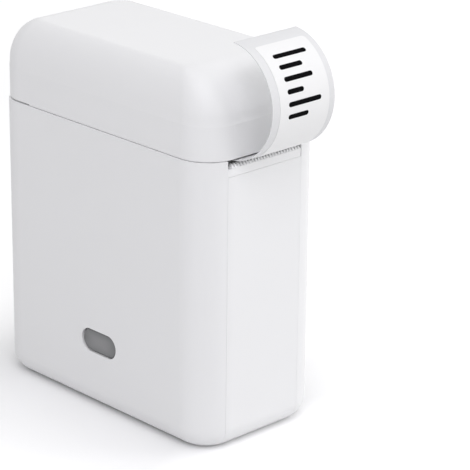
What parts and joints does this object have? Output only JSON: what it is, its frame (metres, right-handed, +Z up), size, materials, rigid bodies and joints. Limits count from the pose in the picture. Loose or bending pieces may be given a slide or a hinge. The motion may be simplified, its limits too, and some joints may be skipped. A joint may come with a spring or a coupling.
{
  "type": "label printer",
  "caption": "Pocket label printer: rounded upright block with a hinged domed lid, pill button, drop-in roll, geared platen and a strip curling out of a toothed side slot.",
  "frame": {"origin": "centre of the flat bottom of the body", "axes": "+X towards the label exit, -Y out of the button face, +Z up"},
  "size_m": [0.0885, 0.039, 0.1008],
  "materials": {
    "shell": "satin moulded white",
    "cover": "fine-textured white",
    "tear": "white coated edge",
    "bay": "satin light grey",
    "button": "translucent grey",
    "backing": "smooth light grey backing paper",
    "label": "coated white face",
    "core": "grey",
    "steel": "plain",
    "aluminium": "milled",
    "ceramic": "glazed",
    "rubber": "ground",
    "gear": "natural acetal",
    "brass": "turned",
    "carrier": "fine-textured black",
    "bush": "dark acetal",
    "board": "green solder mask",
    "chip": "moulded black",
    "cell": "foil pouch",
    "foam": "closed-cell foam",
    "light": "clear lens"
  },
  "bodies": {
    "base": {"body_shell": "shell", "front_panel": "shell", "tear_bar": "tear", "bottom_cover": "cover", "cover_screws": "steel", "label_bay": "bay", "bay_screws": "steel", "label_sensor": "chip", "hinge_pin": "steel", "gear_plate": "steel", "gear_axles": "steel", "stepper_motor": "steel", "motor_screws": "steel", "head_bracket": "steel", "head_pivot_pin": "steel", "head_spring": "steel", "main_board": "board", "board_chips": "chip", "battery": "cell", "battery_pad": "foam", "usb_socket": "steel", "push_switch": "chip", "status_light": "light", "label_strip": "backing", "label": "label"},
    "lid": {"lid_shell": "shell", "platen_carrier": "carrier", "carrier_screws": "steel", "platen_bushes": "bush"},
    "platen": {"platen_shaft": "steel", "platen_rubber": "rubber", "platen_gear": "gear"},
    "idler": {"idler_gear": "gear"},
    "compound": {"compound_gear": "gear"},
    "motor_rotor": {"motor_pinion": "brass"},
    "roll": {"label_roll": "label", "roll_core": "core"},
    "print_head": {"head_plate": "aluminium", "head_ceramic": "ceramic"},
    "button": {"power_button": "button"}
  },
  "joints": [
    {"name": "lid_hinge", "type": "hinge", "parent": "base", "child": "lid", "pos_m": [-0.0358, 0, 0.0732], "axis": [0, -1, 0], "range_deg": [0, 90]},
    {"name": "platen_spin", "type": "hinge", "parent": "lid", "child": "platen", "pos_m": [0.0275, 0, 0.0769], "axis": [0, -1, 0], "continuous": true},
    {"name": "idler_spin", "type": "hinge", "parent": "base", "child": "idler", "pos_m": [0.0275, 0, 0.0639], "axis": [0, -1, 0], "continuous": true},
    {"name": "compound_spin", "type": "hinge", "parent": "base", "child": "compound", "pos_m": [0.01929, 0, 0.05819], "axis": [0, -1, 0], "continuous": true},
    {"name": "motor_spin", "type": "hinge", "parent": "base", "child": "motor_rotor", "pos_m": [0.02572, 0, 0.05053], "axis": [0, -1, 0], "continuous": true},
    {"name": "roll_spin", "type": "hinge", "parent": "base", "child": "roll", "pos_m": [-0.007, 0, 0.054], "axis": [0, -1, 0], "continuous": true},
    {"name": "head_rock", "type": "hinge", "parent": "base", "child": "print_head", "pos_m": [0.0334, 0, 0.0686], "axis": [0, -1, 0], "range_deg": [0, 3], "stiffness_Nm_per_rad": 1, "springref_deg": -2.86, "deforming": ["head_spring"]},
    {"name": "button_press", "type": "slide", "parent": "base", "child": "button", "axis": [0, 1, 0], "range_m": [0, 0.0005], "stiffness_N_per_m": 1500, "springref_m": -0.0003}
  ],
  "couplings": [
    {"joint": "idler_spin", "follows": "platen_spin", "ratio": -0.85714},
    {"joint": "compound_spin", "follows": "platen_spin", "ratio": 2},
    {"joint": "motor_spin", "follows": "platen_spin", "ratio": -6},
    {"joint": "roll_spin", "follows": "platen_spin", "ratio": 0.22105}
  ]
}
